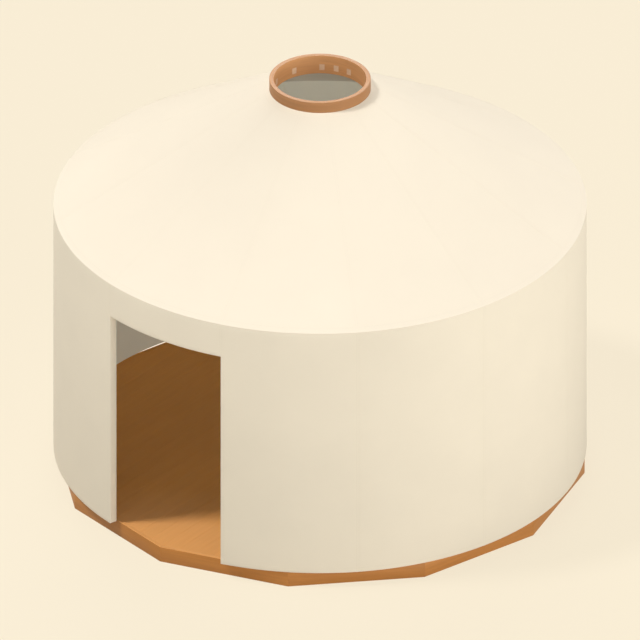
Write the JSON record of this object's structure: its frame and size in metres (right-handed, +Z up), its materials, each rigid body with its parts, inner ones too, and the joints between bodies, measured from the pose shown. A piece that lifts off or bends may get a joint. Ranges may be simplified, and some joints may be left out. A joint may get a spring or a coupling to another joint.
{
  "type": "yurt",
  "caption": "Round one-room shelter on a low many-sided timber deck: plain upright wall with an open doorway, conical roof, and an open timber ring at its crown.",
  "frame": {"origin": "centre of the deck's underside, on the ground", "axes": "+Z up along the yurt's axis; -Y out through the doorway; +X to the right as seen from outside the doorway"},
  "size_m": [4.2, 4.2, 3.4218],
  "materials": {
    "deck_timber": "oiled softwood",
    "floor_boards": "oiled boards",
    "joist_timber": "sawn softwood",
    "wall_canvas": "plain-woven canvas",
    "roof_canvas": "plain-woven canvas",
    "roof_lining": "plain-woven cotton",
    "pole_timber": "planed softwood",
    "crown_timber": "oiled hardwood"
  },
  "bodies": {
    "root": {"rim_board_01": "deck_timber", "rim_board_02": "deck_timber", "rim_board_03": "deck_timber", "rim_board_04": "deck_timber", "rim_board_05": "deck_timber", "rim_board_06": "deck_timber", "rim_board_07": "deck_timber", "rim_board_08": "deck_timber", "rim_board_09": "deck_timber", "rim_board_10": "deck_timber", "rim_board_11": "deck_timber", "rim_board_12": "deck_timber", "deck_joists": "joist_timber", "floor_strip_01": "floor_boards", "floor_strip_02": "floor_boards", "floor_strip_03": "floor_boards", "floor_strip_04": "floor_boards", "floor_strip_05": "floor_boards", "floor_strip_06": "floor_boards", "wall_panel_01": "wall_canvas", "wall_panel_02": "wall_canvas", "wall_panel_03": "wall_canvas", "wall_panel_04": "wall_canvas", "wall_panel_05": "wall_canvas", "wall_panel_06": "wall_canvas", "wall_panel_07": "wall_canvas", "wall_panel_08": "wall_canvas", "wall_panel_09": "wall_canvas", "wall_panel_10": "wall_canvas", "wall_panel_11": "wall_canvas", "door_lintel": "wall_canvas", "roof_poles_through": "pole_timber", "roof_poles_stopped": "pole_timber", "roof_cover_01": "roof_canvas", "roof_cover_02": "roof_canvas", "roof_cover_03": "roof_canvas", "roof_cover_04": "roof_canvas", "roof_cover_05": "roof_canvas", "roof_cover_06": "roof_canvas", "roof_lining_odd": "roof_lining", "roof_lining_even": "roof_lining", "crown_ring": "crown_timber"}
  },
  "joints": []
}
